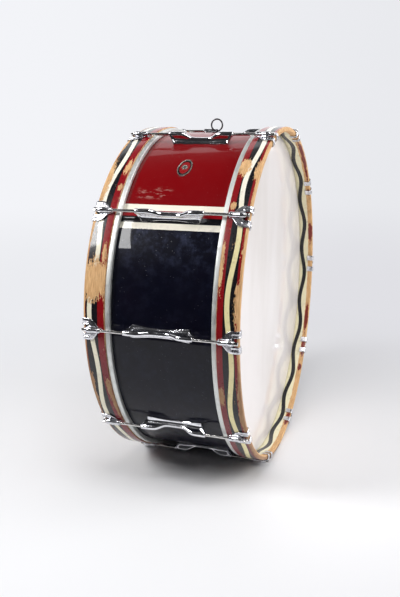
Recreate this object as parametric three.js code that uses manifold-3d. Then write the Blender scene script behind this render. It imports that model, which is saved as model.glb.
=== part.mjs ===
// Marching bass drum, standing on its two wooden hoops. Millimetres, +Z up.
// The drum's axis lies along X and its right head faces +X.
// The origin is on the floor, midway between the hoops and below the drum's axis.
// Each piece is drawn about the drum's axis, and the whole drum is then lifted onto its hoops.

import * as THREE from "three";
import { mergeVertices } from "three/addons/utils/BufferGeometryUtils.js";
import Module from "manifold-3d";

const wasm = await Module();
wasm.setup();

// Driving dimensions
const shellDiameter = 711.2;
const shellDepth = 241.3;
const rodCount = 10;
const hoopWidth = 43.5;
const hoopThickness = 10;
const hoopStand = 34;
const rodDiameter = 6;
const lugLength = 138;
const ringOuterDiameter = 28.4;

// Clearances
const seatGap = 0.3;
const cutOverrun = 5;

// Flats of every round piece from one rod to the next, an even number so that a flat lies under each rod
const flatsPerRod = 4;
const flats = rodCount * flatsPerRod;
const cornerStretch = 1 / Math.cos(Math.PI / flats);

// Shell: a thin wall with a thicker ring glued inside each edge, and a bearing edge cut on both
const shellRadius = shellDiameter / 2;
const shellWall = 7;
const edgeRingThickness = 6;
const edgeRingWidth = 38;
const bearingEdgeFlat = 3;
const bearingEdgeRound = 2;
const halfDepth = shellDepth / 2;

// Heads: a plastic film whose rim is turned out and held by the flesh hoop
const filmThickness = 0.6;
const filmRimReach = 2.6;
const filmRimInset = 1.5;
const filmInnerRadius = shellRadius + seatGap;
const filmOuterRadius = filmInnerRadius + filmThickness;
const filmInnerX = halfDepth + seatGap;
const filmOuterX = filmInnerX + filmThickness;

// Counter hoops of wood, whose inner edges press on the flesh hoops
const hoopClearance = 1.5;
const hoopEdgeCut = 1.8;
const hoopInnerRadius = filmOuterRadius + hoopClearance;
const hoopOuterRadius = hoopInnerRadius + hoopThickness;
const hoopOuterX = halfDepth + hoopStand;
const hoopInnerX = hoopOuterX - hoopWidth;

// Flesh hoops of aluminium
const fleshHoopWidth = 9.5;
const fleshHoopThickness = 8.7;
const fleshHoopEdgeCut = 1.5;
const fleshHoopOuterX = hoopInnerX - seatGap;
const fleshHoopInnerX = fleshHoopOuterX - fleshHoopWidth;
const fleshHoopInnerRadius = filmOuterRadius + seatGap;
const fleshHoopOuterRadius = fleshHoopInnerRadius + fleshHoopThickness;
const filmRimX = fleshHoopInnerX + filmRimInset;

// Tension rods and claws
const rodSides = 8;
const rodRadius = rodDiameter / 2;
const rodEngagement = 20;
const rodCollarRadius = 4.7;
const rodCollarLength = 1.6;
const rodKeyWidth = 6.4;
const rodKeyLength = 6;
const boreRadius = rodRadius + seatGap;
const clawThickness = 2.6;
const clawReach = 39;
const clawFingerWidth = 12.5;
const clawFingerSpacing = 30;
const clawFingerLength = 13;
const clawLip = 14;
const clawBendCut = 1.4;
const clawNeckWidth = 9;
const clawCurveInset = 6.3;
const clawCurveSag = 2.6;
const clawCurveSteps = 3;
const barrelRadius = 5.4;
const barrelLength = 30;
const barrelInset = 8;
const barrelFloor = 2.4;
const barrelSides = 16;
const clawFloor = hoopOuterRadius + seatGap;
const rodCircleRadius = clawFloor + barrelFloor + boreRadius;
const barrelOuterX = hoopOuterX - barrelInset;

// Lugs: castings on the shell, flared at both ends, each end with a round casing about the rod's axis
const lugFloor = shellRadius + seatGap;
const lugRodRise = rodCircleRadius - lugFloor;
const lugBaseWidth = 26;
const lugWaistBaseWidth = 18;
const lugEdgeHeight = 2.6;
const lugValleyWidth = 8.4;
const lugValleyHeight = 8.5;
const lugWaistValleyWidth = 11;
const lugWaistValleyHeight = 5.4;
const lugWaistRibWidth = 8.8;
const lugWaistRibHeight = 7.4;
const lugWaistTopHeight = 11.4;
const lugCasingRadius = 5.7;
const lugNoseRadius = 4.6;
const lugBoreLength = 25;
const lugNosePoints = 12;
// Share of the half length, then how far the base and the rib have turned from the waist into the full end
const lugOutlineShares = [
  [0, 0, 0],
  [0.27, 0.08, 0.08],
  [0.41, 0.3, 0.45],
  [0.53, 0.62, 0.9],
  [0.64, 0.86, 1],
  [0.83, 1, 1],
];
// Corners of the casing round the rod, as shares of a right angle up from its side
const casingTurnShares = [-0.15, 0.35, 0.78];

// Vent plate and its eyelet, on the front of the shell
const ventAngle = 34.4;
const ventX = -4.3;
const ventPlateWidth = 29;
const ventPlateHeight = 50;
const ventPlateThickness = 1.2;
const eyeletOuterRadius = 5.5;
const eyeletHoleRadius = 3.2;
const eyeletRise = 1;
const plateSides = 20;
const plateArcSteps = 6;
const eyeletSides = 12;

// Carrying ring and its staple, on top of the shell
const ringX = -1.5;
const ringWireRadius = 1.5;
const ringSections = 20;
const ringWireSides = 8;
const stapleBaseLength = 24;
const stapleBaseWidth = 13;
const stapleBaseThickness = 1.6;
const stapleSlotClearance = 0.4;
const stapleWall = 2.2;
const stapleThickness = 3;
const stapleArcSteps = 8;
const ringRadius = ringOuterDiameter / 2 - ringWireRadius;
const stapleBaseTop = shellRadius + seatGap + stapleBaseThickness;
const ringPivotRadius = stapleBaseTop + seatGap + ringWireRadius;

// Finishes
const redLacquer = { color: 0x8c0a14, roughness: 0.15, metalness: 0 };
const paintedWood = { color: 0xa5101f, roughness: 0.4, metalness: 0 };
const whiteFilm = { color: 0xeae6e2, roughness: 0.35, metalness: 0 };
const aluminium = { color: 0xc4c8cc, roughness: 0.35, metalness: 1 };
const chrome = { color: 0xd8dbe0, roughness: 0.1, metalness: 1 };
const steel = { color: 0x6a6c70, roughness: 0.25, metalness: 1 };

const drum = new THREE.Group();

function addPiece(parent, name, geometry, finish) {
  const mesh = new THREE.Mesh(geometry, new THREE.MeshStandardMaterial(finish));
  mesh.name = name;
  parent.add(mesh);
  return mesh;
}

// Joins and cuts

function solidOf(geometry) {
  const bare = geometry.clone();
  bare.deleteAttribute("normal");
  bare.deleteAttribute("uv");
  const merged = mergeVertices(bare);
  return new wasm.Manifold(
    new wasm.Mesh({
      numProp: 3,
      vertProperties: merged.attributes.position.array,
      triVerts: new Uint32Array(merged.index.array),
    }),
  );
}

function geometryOf(solid) {
  const mesh = solid.getMesh();
  const geometry = new THREE.BufferGeometry();
  geometry.setAttribute("position", new THREE.BufferAttribute(mesh.vertProperties, 3));
  geometry.setIndex(new THREE.BufferAttribute(mesh.triVerts, 1));
  geometry.computeVertexNormals();
  return geometry;
}

// A closed outline of [x, radius] turned about X, with its flats at those radii
function turned(outline) {
  const points = outline.map(([x, radius]) => new THREE.Vector2(radius * cornerStretch, x));
  points.push(points[0].clone());
  return new THREE.LatheGeometry(points, flats, Math.PI / flats).rotateZ(-Math.PI / 2);
}

// A round bar along X from one place to another, with its corners at the radius
function bar(fromX, toX, radius, sides) {
  const length = toX - fromX;
  return new THREE.CylinderGeometry(radius, radius, length, sides)
    .rotateZ(-Math.PI / 2)
    .translate(fromX + length / 2, 0, 0);
}

// An outline of [a, b] points as a shape
function outlineShape(points) {
  return new THREE.Shape(points.map(([a, b]) => new THREE.Vector2(a, b)));
}

// Shell and its vent hole

function shellGeometry() {
  const innerRadius = shellRadius - shellWall;
  const ringInnerRadius = innerRadius - edgeRingThickness;
  const ringInnerX = halfDepth - edgeRingWidth;
  const edgeTopRadius = shellRadius - bearingEdgeRound;
  const edgeInnerRadius = edgeTopRadius - bearingEdgeFlat;
  const edgeSlope = edgeInnerRadius - ringInnerRadius;
  const rightHalf = [
    [halfDepth - bearingEdgeRound, shellRadius],
    [halfDepth, edgeTopRadius],
    [halfDepth, edgeInnerRadius],
    [halfDepth - edgeSlope, ringInnerRadius],
    [ringInnerX, ringInnerRadius],
    [ringInnerX - edgeRingThickness, innerRadius],
  ];
  const leftHalf = rightHalf.map(([x, radius]) => [-x, radius]).reverse();
  const holeRadius = eyeletOuterRadius + seatGap;
  const hole = new THREE.CylinderGeometry(holeRadius, holeRadius, shellWall + 2 * cutOverrun, eyeletSides)
    .rotateX(Math.PI / 2)
    .translate(ventX, 0, shellRadius - shellWall / 2)
    .rotateX(THREE.MathUtils.degToRad(ventAngle));
  const body = turned([...rightHalf, ...leftHalf]);
  return geometryOf(solidOf(body).subtract(solidOf(hole)));
}

// Heads, drawn for the right side

function headGeometry() {
  const cornerX = filmOuterX - bearingEdgeRound;
  const cornerRadius = filmOuterRadius - bearingEdgeRound;
  const rimRadius = filmOuterRadius + filmRimReach;
  return turned([
    [filmOuterX, 0],
    [filmInnerX, 0],
    [filmInnerX, cornerRadius],
    [cornerX, filmInnerRadius],
    [filmRimX, filmInnerRadius],
    [filmRimX, rimRadius],
    [filmRimX + filmThickness, rimRadius],
    [filmRimX + filmThickness, filmOuterRadius],
    [cornerX, filmOuterRadius],
    [filmOuterX, cornerRadius],
  ]);
}

function fleshHoopGeometry() {
  const grooveRadius = filmOuterRadius + filmRimReach + seatGap;
  const grooveX0 = filmRimX - seatGap;
  const grooveX1 = filmRimX + filmThickness + seatGap;
  return turned([
    [fleshHoopInnerX, fleshHoopInnerRadius],
    [fleshHoopInnerX, fleshHoopOuterRadius - fleshHoopEdgeCut],
    [fleshHoopInnerX + fleshHoopEdgeCut, fleshHoopOuterRadius],
    [fleshHoopOuterX, fleshHoopOuterRadius],
    [fleshHoopOuterX, fleshHoopInnerRadius],
    [grooveX1, fleshHoopInnerRadius],
    [grooveX1, grooveRadius],
    [grooveX0, grooveRadius],
    [grooveX0, fleshHoopInnerRadius],
  ]);
}

function hoopGeometry() {
  return turned([
    [hoopInnerX, hoopInnerRadius],
    [hoopInnerX, hoopOuterRadius - hoopEdgeCut],
    [hoopInnerX + hoopEdgeCut, hoopOuterRadius],
    [hoopOuterX - hoopEdgeCut, hoopOuterRadius],
    [hoopOuterX, hoopOuterRadius - hoopEdgeCut],
    [hoopOuterX, hoopInnerRadius + hoopEdgeCut],
    [hoopOuterX - hoopEdgeCut, hoopInnerRadius],
  ]);
}

// A solid through rings of as many points each, with its first and last ring closed
function cappedLoft(rings) {
  const count = rings[0].length;
  const positions = rings.flat().flatMap((p) => [p.x, p.y, p.z]);
  const index = [];
  for (let i = 0; i + 1 < rings.length; i += 1) {
    const here = i * count;
    const next = here + count;
    for (let j = 0; j < count; j += 1) {
      const k = (j + 1) % count;
      index.push(here + j, here + k, next + k);
      index.push(here + j, next + k, next + j);
    }
  }
  const last = (rings.length - 1) * count;
  for (let j = 1; j + 1 < count; j += 1) {
    index.push(0, j + 1, j);
    index.push(last, last + j, last + j + 1);
  }
  const geometry = new THREE.BufferGeometry();
  geometry.setAttribute("position", new THREE.Float32BufferAttribute(positions, 3));
  geometry.setIndex(index);
  return geometry;
}

// Lug: a waist that flares at each end into a broad base and a rib round the rod, with a blind bore in each

function lugHalfSection(baseShare, ribShare) {
  const blend = (waist, end, share) => waist + (end - waist) * share;
  const base = blend(lugWaistBaseWidth, lugBaseWidth, baseShare) / 2;
  const valleyWidth = blend(lugWaistValleyWidth, lugValleyWidth, ribShare) / 2;
  const valleyHeight = blend(lugWaistValleyHeight, lugValleyHeight, ribShare);
  const waistRib = [
    [lugWaistRibWidth / 2, lugWaistRibHeight],
    [lugWaistRibWidth / 2, (lugWaistRibHeight + lugWaistTopHeight) / 2],
    [lugWaistRibWidth / 4, lugWaistTopHeight],
  ];
  const rib = casingTurnShares.map((turnShare, i) => {
    const turn = (turnShare * Math.PI) / 2;
    const y = lugCasingRadius * Math.cos(turn);
    const z = lugRodRise + lugCasingRadius * Math.sin(turn);
    return [blend(waistRib[i][0], y, ribShare), blend(waistRib[i][1], z, ribShare)];
  });
  return [[base, 0], [base, lugEdgeHeight], [valleyWidth, valleyHeight], ...rib];
}

function lugSection(x, baseShare, ribShare) {
  const half = lugHalfSection(baseShare, ribShare);
  const otherHalf = half.map(([y, z]) => [-y, z]).reverse();
  return [...half, ...otherHalf].map(([y, z]) => new THREE.Vector3(x, y, z));
}

function lugNose(x) {
  return Array.from({ length: lugNosePoints }, (_, i) => {
    const turn = ((i + 1 / 2) * 2 * Math.PI) / lugNosePoints - Math.PI / 2;
    const y = lugNoseRadius * Math.cos(turn);
    const z = lugRodRise + lugNoseRadius * Math.sin(turn);
    return new THREE.Vector3(x, y, z);
  });
}

function lugGeometry() {
  const halfLength = lugLength / 2;
  const halves = lugOutlineShares.map(([lengthShare, baseShare, ribShare]) => [
    lengthShare * halfLength,
    baseShare,
    ribShare,
  ]);
  const leftHalf = halves.slice(1).map(([x, base, rib]) => lugSection(-x, base, rib)).reverse();
  const rightHalf = halves.map(([x, base, rib]) => lugSection(x, base, rib));
  const outside = cappedLoft([lugNose(-halfLength), ...leftHalf, ...rightHalf, lugNose(halfLength)]);
  let lug = solidOf(outside);
  for (const side of [-1, 1]) {
    const boreX = side * (halfLength + (cutOverrun - lugBoreLength) / 2);
    const boreLength = lugBoreLength + cutOverrun;
    const bore = bar(
      boreX - boreLength / 2,
      boreX + boreLength / 2,
      boreRadius / Math.cos(Math.PI / rodSides),
      rodSides,
    ).translate(0, 0, lugRodRise);
    lug = lug.subtract(solidOf(bore));
  }
  return geometryOf(lug).translate(0, 0, lugFloor);
}

// Rod, drawn for the right side: screwed into the lug, its collar against the claw's barrel

function rodGeometry() {
  const rodInnerX = lugLength / 2 - rodEngagement;
  const collarX = barrelOuterX + seatGap;
  const collarEndX = collarX + rodCollarLength;
  const shank = bar(rodInnerX, collarX + rodCollarLength / 2, rodRadius, rodSides);
  const collar = bar(collarX, collarEndX, rodCollarRadius, rodSides);
  const keyLength = rodKeyLength + rodCollarLength / 2;
  const key = new THREE.BoxGeometry(keyLength, rodKeyWidth, rodKeyWidth)
    .translate(collarEndX - rodCollarLength / 2 + keyLength / 2, 0, 0);
  return geometryOf(solidOf(shank).add(solidOf(collar)).add(solidOf(key)));
}

// Claw, drawn for the right side with the drum's axis below it

function clawPlate() {
  const tipX = hoopOuterX - clawReach;
  const fingerX = hoopOuterX - clawFingerLength;
  const outerY = (clawFingerSpacing + clawFingerWidth) / 2;
  const innerY = (clawFingerSpacing - clawFingerWidth) / 2;
  const neckY = clawNeckWidth / 2;
  const curveX = fingerX - clawCurveInset;
  const curveY = neckY + clawCurveSag;
  const shape = new THREE.Shape();
  shape.moveTo(tipX, -neckY);
  shape.quadraticCurveTo(curveX, -curveY, fingerX, -outerY);
  shape.lineTo(hoopOuterX, -outerY);
  shape.lineTo(hoopOuterX, -innerY);
  shape.lineTo(fingerX, -neckY);
  shape.lineTo(fingerX, neckY);
  shape.lineTo(hoopOuterX, innerY);
  shape.lineTo(hoopOuterX, outerY);
  shape.lineTo(fingerX, outerY);
  shape.quadraticCurveTo(curveX, curveY, tipX, neckY);
  const settings = { depth: clawThickness, bevelEnabled: false, curveSegments: clawCurveSteps };
  return new THREE.ExtrudeGeometry(shape, settings).translate(0, 0, clawFloor);
}

// One finger, bent over the hoop's outer edge and back along its inner face
function clawFinger(middleY) {
  const backX = hoopOuterX - clawFingerLength;
  const edgeX = hoopOuterX + seatGap;
  const frontX = edgeX + clawThickness;
  const topZ = clawFloor + clawThickness;
  const lipTopZ = hoopInnerRadius - seatGap;
  const lipZ = lipTopZ - clawThickness;
  const shape = outlineShape([
    [backX, topZ],
    [backX, clawFloor],
    [edgeX, clawFloor],
    [edgeX, lipTopZ],
    [edgeX - clawLip, lipTopZ],
    [edgeX - clawLip, lipZ],
    [frontX - clawBendCut, lipZ],
    [frontX, lipZ + clawBendCut],
    [frontX, topZ - clawBendCut],
    [frontX - clawBendCut, topZ],
  ]);
  const settings = { depth: clawFingerWidth, bevelEnabled: false };
  return new THREE.ExtrudeGeometry(shape, settings)
    .rotateX(Math.PI / 2)
    .translate(0, middleY + clawFingerWidth / 2, 0);
}

// The barrel round the rod, sunk into the plate
function clawBarrel() {
  return bar(barrelOuterX - barrelLength, barrelOuterX, barrelRadius, barrelSides)
    .translate(0, 0, rodCircleRadius);
}

function clawGeometry() {
  const bore = bar(
    barrelOuterX - barrelLength - cutOverrun,
    barrelOuterX + cutOverrun,
    boreRadius / Math.cos(Math.PI / rodSides),
    rodSides,
  ).translate(0, 0, rodCircleRadius);
  const claw = solidOf(clawPlate())
    .add(solidOf(clawFinger(clawFingerSpacing / 2)))
    .add(solidOf(clawFinger(-clawFingerSpacing / 2)))
    .add(solidOf(clawBarrel()))
    .subtract(solidOf(bore));
  return geometryOf(claw);
}

// Vent plate: an oval plate bent to the shell, with an eyelet through the shell's wall

function ventPlateGeometry() {
  const innerRadius = shellRadius * cornerStretch + seatGap;
  const outerRadius = innerRadius + ventPlateThickness;
  const halfTurn = (ventPlateHeight / 2 + cutOverrun) / innerRadius;
  const arc = (radius, from, to) => Array.from({ length: plateArcSteps + 1 }, (_, i) => {
    const angle = from + ((to - from) * i) / plateArcSteps;
    return [radius * Math.sin(angle), radius * Math.cos(angle)];
  });
  const band = new THREE.ExtrudeGeometry(
    outlineShape([...arc(innerRadius, -halfTurn, halfTurn), ...arc(outerRadius, halfTurn, -halfTurn)]),
    { depth: ventPlateWidth + 2 * cutOverrun, bevelEnabled: false },
  )
    .rotateX(Math.PI / 2)
    .rotateZ(Math.PI / 2)
    .translate(-ventPlateWidth / 2 - cutOverrun, 0, 0);
  const oval = new THREE.CylinderGeometry(1, 1, 1, plateSides)
    .rotateX(Math.PI / 2)
    .scale(ventPlateWidth / 2, ventPlateHeight / 2, 2 * cutOverrun + ventPlateThickness)
    .translate(0, 0, innerRadius);
  const eyeletLength = shellWall + (outerRadius - shellRadius) + eyeletRise;
  const eyeletMiddle = outerRadius + eyeletRise - eyeletLength / 2;
  const eyelet = new THREE.CylinderGeometry(eyeletOuterRadius, eyeletOuterRadius, eyeletLength, eyeletSides)
    .rotateX(Math.PI / 2)
    .translate(0, 0, eyeletMiddle);
  const hole = new THREE.CylinderGeometry(
    eyeletHoleRadius,
    eyeletHoleRadius,
    eyeletLength + 2 * cutOverrun,
    eyeletSides,
  )
    .rotateX(Math.PI / 2)
    .translate(0, 0, eyeletMiddle);
  const plate = solidOf(band)
    .intersect(solidOf(oval))
    .add(solidOf(eyelet))
    .subtract(solidOf(hole));
  return geometryOf(plate)
    .translate(ventX, 0, 0)
    .rotateX(THREE.MathUtils.degToRad(ventAngle));
}

// Staple: a base plate with an arch over the ring's wire

function stapleGeometry() {
  const slotRadius = ringWireRadius + stapleSlotClearance;
  const archRadius = slotRadius + stapleWall;
  const rise = ringPivotRadius - stapleBaseTop;
  const foot = stapleBaseThickness / 2;
  const shape = new THREE.Shape();
  shape.moveTo(-archRadius, -foot);
  shape.lineTo(-slotRadius, -foot);
  shape.lineTo(-slotRadius, rise);
  shape.absarc(0, rise, slotRadius, Math.PI, 0, true);
  shape.lineTo(slotRadius, -foot);
  shape.lineTo(archRadius, -foot);
  shape.absarc(0, rise, archRadius, 0, Math.PI, false);
  const settings = { depth: stapleThickness, bevelEnabled: false, curveSegments: stapleArcSteps };
  const arch = new THREE.ExtrudeGeometry(shape, settings)
    .rotateX(Math.PI / 2)
    .rotateZ(Math.PI / 2)
    .translate(ringX - stapleThickness / 2, 0, stapleBaseTop);
  const base = new THREE.BoxGeometry(stapleBaseLength, stapleBaseWidth, stapleBaseThickness)
    .translate(ringX, 0, stapleBaseTop - stapleBaseThickness / 2);
  return geometryOf(solidOf(base).add(solidOf(arch)));
}

function ringGeometry() {
  return new THREE.TorusGeometry(ringRadius, ringWireRadius, ringWireSides, ringSections)
    .rotateX(Math.PI / 2)
    .translate(ringX, 0, ringPivotRadius + ringRadius);
}

// Assembly

const sides = [
  ["left", Math.PI],
  ["right", 0],
];

function addShellAndFittings() {
  addPiece(drum, "shell", shellGeometry(), redLacquer);
  addPiece(drum, "vent_plate", ventPlateGeometry(), chrome);
  addPiece(drum, "ring_staple", stapleGeometry(), steel);
  addPiece(drum, "carrying_ring", ringGeometry(), steel);
}

function addHeadsAndHoops() {
  for (const [side, turn] of sides) {
    const end = new THREE.Group();
    end.rotation.z = turn;
    drum.add(end);
    addPiece(end, `${side}_head`, headGeometry(), whiteFilm);
    addPiece(end, `${side}_flesh_hoop`, fleshHoopGeometry(), aluminium);
    addPiece(end, `${side}_hoop`, hoopGeometry(), paintedWood);
  }
}

// The lugs are counted from the top towards the front, and the top lies midway between two of them
function addTensioners() {
  for (let i = 0; i < rodCount; i += 1) {
    const number = String(i + 1).padStart(2, "0");
    const station = new THREE.Group();
    station.rotation.x = ((i + 1 / 2) * 2 * Math.PI) / rodCount;
    drum.add(station);
    addPiece(station, `lug_${number}`, lugGeometry(), chrome);
    for (const [side, turn] of sides) {
      const end = new THREE.Group();
      end.rotation.z = turn;
      station.add(end);
      const rod = addPiece(end, `${side}_rod_${number}`, rodGeometry(), chrome);
      rod.position.z = rodCircleRadius;
      addPiece(end, `${side}_claw_${number}`, clawGeometry(), chrome);
    }
  }
}

addShellAndFittings();
addHeadsAndHoops();
addTensioners();
drum.position.z = hoopOuterRadius;

export default drum;
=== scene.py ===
import math

import bmesh
import bpy
from mathutils import Matrix, Vector


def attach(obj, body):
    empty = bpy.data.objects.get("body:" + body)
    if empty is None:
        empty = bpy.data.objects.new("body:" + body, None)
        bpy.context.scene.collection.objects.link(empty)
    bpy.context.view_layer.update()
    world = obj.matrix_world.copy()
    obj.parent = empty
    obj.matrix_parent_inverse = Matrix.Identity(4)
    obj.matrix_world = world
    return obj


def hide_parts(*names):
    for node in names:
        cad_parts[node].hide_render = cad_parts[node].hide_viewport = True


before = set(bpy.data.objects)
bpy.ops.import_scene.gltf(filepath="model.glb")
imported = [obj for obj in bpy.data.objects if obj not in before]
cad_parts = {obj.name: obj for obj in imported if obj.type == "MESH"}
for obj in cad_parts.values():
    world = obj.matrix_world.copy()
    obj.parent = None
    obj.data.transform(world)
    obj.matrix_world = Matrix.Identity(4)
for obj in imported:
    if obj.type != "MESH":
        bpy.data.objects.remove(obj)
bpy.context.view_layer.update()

# Lengths are in metres, so one in millimetres is written as a number times MM
MM = 0.001
# Points closer than this are made one
WELD = MM / 100
# Edges sharper than this many degrees are rounded, or stay sharp in the shading
EDGE_ANGLE = 35

# The drum's measures in millimetres: radii about its axle, and places along it from its middle
SHELL_RADIUS = 355.6
SHELL_END = 120.65
WALL_INSIDE = 348.6
HOOP_RADIUS = 368
HOOP_INNER = 358
HOOP_START = 111.15
HOOP_END = 154.65
ROD_CIRCLE = 374

AXLE = HOOP_RADIUS * MM
ROD_HEIGHT = AXLE + ROD_CIRCLE * MM

# The lugs' number, and the degrees from the top to the first of them and from each to the next
STATIONS = 10
FIRST_STATION = 18
STATION_STEP = 36


# Working in edit mode


def clear_selection():
    """Leave edit mode with nothing selected."""
    if bpy.context.mode != "OBJECT":
        bpy.ops.object.mode_set(mode="OBJECT")
    bpy.ops.object.select_all(action="DESELECT")


def take(piece):
    """Make a piece the only one selected, and the active one."""
    clear_selection()
    bpy.context.view_layer.objects.active = piece
    piece.select_set(True)


def begin(primitive, **settings):
    """Add a primitive, put its place in its mesh and open it in edit mode, all selected."""
    clear_selection()
    primitive(**settings)
    bpy.ops.object.transform_apply(location=True, rotation=True, scale=True)
    bpy.ops.object.mode_set(mode="EDIT")
    bpy.ops.mesh.select_mode(type="VERT")
    bpy.ops.mesh.select_all(action="SELECT")


def close(name):
    """Leave edit mode and name the piece."""
    bpy.ops.object.mode_set(mode="OBJECT")
    piece = bpy.context.object
    piece.name = name
    piece.data.name = name
    return piece


def reopen(piece):
    """Open a finished piece in edit mode again."""
    take(piece)
    bpy.ops.object.mode_set(mode="EDIT")


def pick_faces(test):
    """Select the faces whose middle and normal pass the test."""
    bpy.ops.mesh.select_mode(type="FACE")
    bpy.ops.mesh.select_all(action="DESELECT")
    mesh = bmesh.from_edit_mesh(bpy.context.object.data)
    for face in mesh.faces:
        face.select_set(test(face.calc_center_median(), face.normal))
    bmesh.update_edit_mesh(bpy.context.object.data)


def pick_points(test):
    """Select the points whose place passes the test, and the edges between them."""
    bpy.ops.mesh.select_mode(type="VERT")
    bpy.ops.mesh.select_all(action="DESELECT")
    mesh = bmesh.from_edit_mesh(bpy.context.object.data)
    for point in mesh.verts:
        point.select_set(test(point.co))
    mesh.select_flush_mode()
    bmesh.update_edit_mesh(bpy.context.object.data)


def pull(move, size=(1, 1, 1), middle=(0, 0, 0)):
    """Extrude what is selected by a move, then size its new end."""
    bpy.ops.mesh.extrude_region_move(TRANSFORM_OT_translate={"value": move})
    bpy.ops.transform.resize(value=size, center_override=middle)


def draw_line(points, closed):
    """Open a piece that is a line, drawn by extruding one point from each place to the next."""
    begin(bpy.ops.mesh.primitive_plane_add, size=MM, location=points[0])
    bpy.ops.mesh.merge(type="CENTER")
    bpy.ops.mesh.select_all(action="SELECT")
    ends = [*points[1:], points[0]] if closed else points[1:]
    for here, there in zip(points, ends):
        bpy.ops.mesh.extrude_vertices_move(TRANSFORM_OT_translate={"value": there - here})
    bpy.ops.mesh.select_all(action="SELECT")
    bpy.ops.mesh.remove_doubles(threshold=WELD)


def face_outwards():
    """Weld the open piece and turn its faces outward."""
    bpy.ops.mesh.select_all(action="SELECT")
    bpy.ops.mesh.remove_doubles(threshold=WELD)
    bpy.ops.mesh.normals_make_consistent(inside=False)


def modify(piece, kind, **settings):
    """Give a piece a modifier and apply it."""
    take(piece)
    modifier = piece.modifiers.new(kind.lower(), kind)
    for key, value in settings.items():
        setattr(modifier, key, value)
    bpy.ops.object.modifier_apply(modifier=modifier.name)


def soften(piece, width, segments=2, angle=EDGE_ANGLE):
    """Round a piece's edges by a width in millimetres."""
    modify(piece, "BEVEL", width=width * MM, segments=segments, limit_method="ANGLE",
           angle_limit=math.radians(angle))


def shade(piece, angle):
    """Shade a piece smoothly up to an angle in degrees."""
    take(piece)
    bpy.ops.object.shade_smooth_by_angle(angle=math.radians(angle))


def drill(piece, tool):
    """Cut a tool's shape out of a piece."""
    modify(piece, "BOOLEAN", operation="DIFFERENCE", object=tool, solver="EXACT")
    bpy.data.objects.remove(tool)


def join(name, pieces):
    """Make one piece of the parts of a casting or fitting."""
    take(pieces[0])
    for piece in pieces:
        piece.select_set(True)
    bpy.ops.object.join()
    return close(name)


def put(piece, matrix):
    """Move a piece and put its new place in its mesh."""
    piece.matrix_world = matrix
    take(piece)
    bpy.ops.object.transform_apply(location=True, rotation=True, scale=True)


def about(point, turn):
    """A turn about a point."""
    return Matrix.Translation(point) @ turn @ Matrix.Translation(-Vector(point))


# Turned pieces

ARC_STEPS = 4


def rounded(corners):
    """Points of an outline given as (along, radius, rounding) corners."""
    points = []
    for i, (along, radius, rounding) in enumerate(corners):
        corner = Vector((along, radius))
        if not rounding:
            points.append(corner)
            continue
        back = (Vector(corners[i - 1][:2]) - corner).normalized()
        ahead = (Vector(corners[(i + 1) % len(corners)][:2]) - corner).normalized()
        half = back.angle(ahead) / 2
        centre = corner + (back + ahead).normalized() * rounding / math.sin(half)
        first = corner + back * rounding / math.tan(half) - centre
        last = corner + ahead * rounding / math.tan(half) - centre
        start = math.atan2(first.y, first.x)
        sweep = (math.atan2(last.y, last.x) - start + math.pi) % math.tau - math.pi
        for step in range(ARC_STEPS + 1):
            turn = start + sweep * step / ARC_STEPS
            points.append(centre + Vector((math.cos(turn), math.sin(turn))) * rounding)
    return points


def turned(name, corners, steps, height=AXLE, closed=True):
    """A piece spun about a line along the drum, from the corners of its outline."""
    draw_line([Vector((along * MM, 0, height + radius * MM)) for along, radius in rounded(corners)],
              closed)
    bpy.ops.mesh.select_all(action="SELECT")
    bpy.ops.mesh.spin(steps=steps, angle=math.tau, center=(0, 0, height), axis=(1, 0, 0))
    face_outwards()
    return close(name)


# Shell, heads and hoops

DRUM_STEPS = 240
VENT_ANGLE = math.radians(34.4)
VENT_ALONG = -4.3 * MM
VENT_DRILL_RADIUS = 5.8 * MM
VENT_DRILL_LENGTH = 20 * MM
# Radius of the glued rings' inside
EDGE_RING_INSIDE = 342.6


def make_shell():
    """Plywood wall with a ring glued inside each edge, and the bored vent."""
    end = [(118.9, SHELL_RADIUS, 1.2), (SHELL_END, 353.8, 0.8), (SHELL_END, 350.6, 0.8),
           (112.7, EDGE_RING_INSIDE, 2), (82.7, EDGE_RING_INSIDE, 1.5), (76.7, WALL_INSIDE, 1.5)]
    other_end = [(-along, radius, rounding) for along, radius, rounding in reversed(end)]
    beside_vent = [(-21, SHELL_RADIUS, 0), (12, SHELL_RADIUS, 0)]
    shell = turned("round_shell", [*end, *other_end, *beside_vent], DRUM_STEPS)
    in_wall = 352 * MM
    middle = (VENT_ALONG, -in_wall * math.sin(VENT_ANGLE), AXLE + in_wall * math.cos(VENT_ANGLE))
    begin(bpy.ops.mesh.primitive_cylinder_add, vertices=32, radius=VENT_DRILL_RADIUS,
          depth=VENT_DRILL_LENGTH, location=middle, rotation=(VENT_ANGLE, 0, 0))
    drill(shell, close("vent_drill"))
    return shell


def make_head():
    """Film with its rounded collar and turned rim."""
    outer_face, inner_face = 121.55, 120.95
    collar_outside, collar_inside, rim = 356.5, 355.9, 359.1
    corners = [(outer_face, 0, 0), (outer_face, collar_outside, 2.8), (103.45, collar_outside, 0.3),
               (103.45, rim, 0), (102.85, rim, 0), (102.85, collar_inside, 0.3),
               (inner_face, collar_inside, 2.2), (inner_face, 0, 0)]
    return turned("film", corners, DRUM_STEPS, closed=False)


def make_flesh_hoop():
    """Aluminium ring with the groove that holds the film's rim."""
    start, end = 101.35, 110.85
    inside, outside, groove = 356.8, 365.5, 359.4
    corners = [(start, inside, 0.3), (start, outside, 2.2), (end, outside, 1), (end, inside, 0.3),
               (103.75, inside, 0), (103.75, groove, 0), (102.55, groove, 0), (102.55, inside, 0)]
    return turned("flesh_ring", corners, DRUM_STEPS)


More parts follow.
